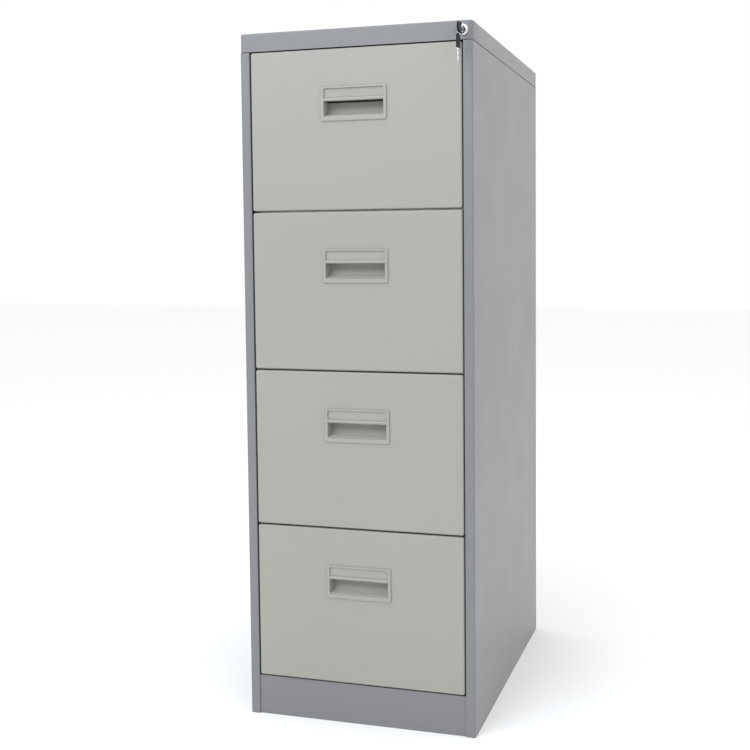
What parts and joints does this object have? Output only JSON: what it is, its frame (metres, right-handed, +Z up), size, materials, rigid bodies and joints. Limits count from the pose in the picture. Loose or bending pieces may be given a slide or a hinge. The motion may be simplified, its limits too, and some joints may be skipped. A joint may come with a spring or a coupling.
{
  "type": "filing cabinet",
  "caption": "Upright steel filing cabinet with stacked pull-out drawers on ball slides, recessed handles and a key lock in the top cover.",
  "frame": {"origin": "centre of the cabinet's base, on the floor", "axes": "+Z up; the drawers open towards -Y; +X to the right as seen from the front"},
  "size_m": [0.46, 0.662, 1.33],
  "materials": {
    "body_paint": "satin cool grey powder paint",
    "front_paint": "satin warm grey powder paint",
    "handle_paint": "satin warm grey paint",
    "card": "blank card",
    "zinc": "zinc plated",
    "cage_steel": "bright steel",
    "chrome": "polished",
    "key_steel": "nickel plated",
    "key_plastic": "moulded"
  },
  "bodies": {
    "cabinet": {"top_cover": "body_paint", "left_side_panel": "body_paint", "right_side_panel": "body_paint", "back_panel": "body_paint", "floor_panel": "body_paint", "base_channel": "body_paint", "plinth": "body_paint", "uprights": "zinc", "cross_rails": "zinc", "lock_housing": "chrome", "lock_nut": "zinc", "bar_guides": "zinc", "drawer_1_slide_outer": "zinc", "drawer_2_slide_outer": "zinc", "drawer_3_slide_outer": "zinc", "drawer_4_slide_outer": "zinc"},
    "drawer_1": {"drawer_1_front": "front_paint", "drawer_1_tray": "front_paint", "drawer_1_handle": "handle_paint", "drawer_1_label_card": "card", "drawer_1_file_rails": "zinc", "drawer_1_slide_inner": "zinc"},
    "drawer_1_middle_rails": {"drawer_1_slide_middle": "zinc"},
    "drawer_1_outer_cages": {"drawer_1_cage_outer": "cage_steel"},
    "drawer_1_inner_cages": {"drawer_1_cage_inner": "cage_steel"},
    "drawer_2": {"drawer_2_front": "front_paint", "drawer_2_tray": "front_paint", "drawer_2_handle": "handle_paint", "drawer_2_label_card": "card", "drawer_2_file_rails": "zinc", "drawer_2_slide_inner": "zinc"},
    "drawer_2_middle_rails": {"drawer_2_slide_middle": "zinc"},
    "drawer_2_outer_cages": {"drawer_2_cage_outer": "cage_steel"},
    "drawer_2_inner_cages": {"drawer_2_cage_inner": "cage_steel"},
    "drawer_3": {"drawer_3_front": "front_paint", "drawer_3_tray": "front_paint", "drawer_3_handle": "handle_paint", "drawer_3_label_card": "card", "drawer_3_file_rails": "zinc", "drawer_3_slide_inner": "zinc"},
    "drawer_3_middle_rails": {"drawer_3_slide_middle": "zinc"},
    "drawer_3_outer_cages": {"drawer_3_cage_outer": "cage_steel"},
    "drawer_3_inner_cages": {"drawer_3_cage_inner": "cage_steel"},
    "drawer_4": {"drawer_4_front": "front_paint", "drawer_4_tray": "front_paint", "drawer_4_handle": "handle_paint", "drawer_4_label_card": "card", "drawer_4_file_rails": "zinc", "drawer_4_slide_inner": "zinc"},
    "drawer_4_middle_rails": {"drawer_4_slide_middle": "zinc"},
    "drawer_4_outer_cages": {"drawer_4_cage_outer": "cage_steel"},
    "drawer_4_inner_cages": {"drawer_4_cage_inner": "cage_steel"},
    "lock_barrel": {"lock_plug": "chrome", "lock_cam": "zinc"},
    "lock_bar": {"lock_bar": "zinc"},
    "key": {"key_bow": "key_plastic", "key_blade": "key_steel"},
    "key_ring": {"key_ring": "key_steel"},
    "spare_key": {"spare_key_bow": "key_plastic", "spare_key_blade": "key_steel"}
  },
  "joints": [
    {"name": "drawer_1_slide", "type": "slide", "parent": "cabinet", "child": "drawer_1", "axis": [0, -1, 0], "range_m": [0, 0.5]},
    {"name": "drawer_1_middle_rails_slide", "type": "slide", "parent": "cabinet", "child": "drawer_1_middle_rails", "axis": [0, -1, 0], "range_m": [0, 0.25]},
    {"name": "drawer_1_outer_cages_roll", "type": "slide", "parent": "cabinet", "child": "drawer_1_outer_cages", "axis": [0, -1, 0], "range_m": [0, 0.125]},
    {"name": "drawer_1_inner_cages_roll", "type": "slide", "parent": "cabinet", "child": "drawer_1_inner_cages", "axis": [0, -1, 0], "range_m": [0, 0.375]},
    {"name": "drawer_2_slide", "type": "slide", "parent": "cabinet", "child": "drawer_2", "axis": [0, -1, 0], "range_m": [0, 0.5]},
    {"name": "drawer_2_middle_rails_slide", "type": "slide", "parent": "cabinet", "child": "drawer_2_middle_rails", "axis": [0, -1, 0], "range_m": [0, 0.25]},
    {"name": "drawer_2_outer_cages_roll", "type": "slide", "parent": "cabinet", "child": "drawer_2_outer_cages", "axis": [0, -1, 0], "range_m": [0, 0.125]},
    {"name": "drawer_2_inner_cages_roll", "type": "slide", "parent": "cabinet", "child": "drawer_2_inner_cages", "axis": [0, -1, 0], "range_m": [0, 0.375]},
    {"name": "drawer_3_slide", "type": "slide", "parent": "cabinet", "child": "drawer_3", "axis": [0, -1, 0], "range_m": [0, 0.5]},
    {"name": "drawer_3_middle_rails_slide", "type": "slide", "parent": "cabinet", "child": "drawer_3_middle_rails", "axis": [0, -1, 0], "range_m": [0, 0.25]},
    {"name": "drawer_3_outer_cages_roll", "type": "slide", "parent": "cabinet", "child": "drawer_3_outer_cages", "axis": [0, -1, 0], "range_m": [0, 0.125]},
    {"name": "drawer_3_inner_cages_roll", "type": "slide", "parent": "cabinet", "child": "drawer_3_inner_cages", "axis": [0, -1, 0], "range_m": [0, 0.375]},
    {"name": "drawer_4_slide", "type": "slide", "parent": "cabinet", "child": "drawer_4", "axis": [0, -1, 0], "range_m": [0, 0.5]},
    {"name": "drawer_4_middle_rails_slide", "type": "slide", "parent": "cabinet", "child": "drawer_4_middle_rails", "axis": [0, -1, 0], "range_m": [0, 0.25]},
    {"name": "drawer_4_outer_cages_roll", "type": "slide", "parent": "cabinet", "child": "drawer_4_outer_cages", "axis": [0, -1, 0], "range_m": [0, 0.125]},
    {"name": "drawer_4_inner_cages_roll", "type": "slide", "parent": "cabinet", "child": "drawer_4_inner_cages", "axis": [0, -1, 0], "range_m": [0, 0.375]},
    {"name": "lock_turn", "type": "hinge", "parent": "cabinet", "child": "lock_barrel", "pos_m": [0.211, -0.31, 1.3125], "axis": [0, -1, 0], "range_deg": [0, 90]},
    {"name": "lock_bar_lift", "type": "slide", "parent": "cabinet", "child": "lock_bar", "axis": [0, 0, 1], "range_m": [0, 0.01555]},
    {"name": "key_withdraw", "type": "slide", "parent": "lock_barrel", "child": "key", "axis": [0, -1, 0], "range_m": [0, 0.03]},
    {"name": "key_ring_swing", "type": "hinge", "parent": "key", "child": "key_ring", "pos_m": [0.211, -0.342, 1.3125], "axis": [1, 0, 0], "range_deg": [-75, 8]},
    {"name": "spare_key_swing", "type": "hinge", "parent": "key_ring", "child": "spare_key", "pos_m": [0.211, -0.342, 1.2955], "axis": [1, 0, 0], "range_deg": [-60, 8]}
  ],
  "couplings": [
    {"joint": "drawer_1_middle_rails_slide", "follows": "drawer_1_slide", "ratio": 0.5},
    {"joint": "drawer_1_outer_cages_roll", "follows": "drawer_1_slide", "ratio": 0.25},
    {"joint": "drawer_1_inner_cages_roll", "follows": "drawer_1_slide", "ratio": 0.75},
    {"joint": "drawer_2_middle_rails_slide", "follows": "drawer_2_slide", "ratio": 0.5},
    {"joint": "drawer_2_outer_cages_roll", "follows": "drawer_2_slide", "ratio": 0.25},
    {"joint": "drawer_2_inner_cages_roll", "follows": "drawer_2_slide", "ratio": 0.75},
    {"joint": "drawer_3_middle_rails_slide", "follows": "drawer_3_slide", "ratio": 0.5},
    {"joint": "drawer_3_outer_cages_roll", "follows": "drawer_3_slide", "ratio": 0.25},
    {"joint": "drawer_3_inner_cages_roll", "follows": "drawer_3_slide", "ratio": 0.75},
    {"joint": "drawer_4_middle_rails_slide", "follows": "drawer_4_slide", "ratio": 0.5},
    {"joint": "drawer_4_outer_cages_roll", "follows": "drawer_4_slide", "ratio": 0.25},
    {"joint": "drawer_4_inner_cages_roll", "follows": "drawer_4_slide", "ratio": 0.75},
    {"joint": "lock_turn", "follows": "lock_bar_lift", "rad_per_m": 100.97}
  ]
}
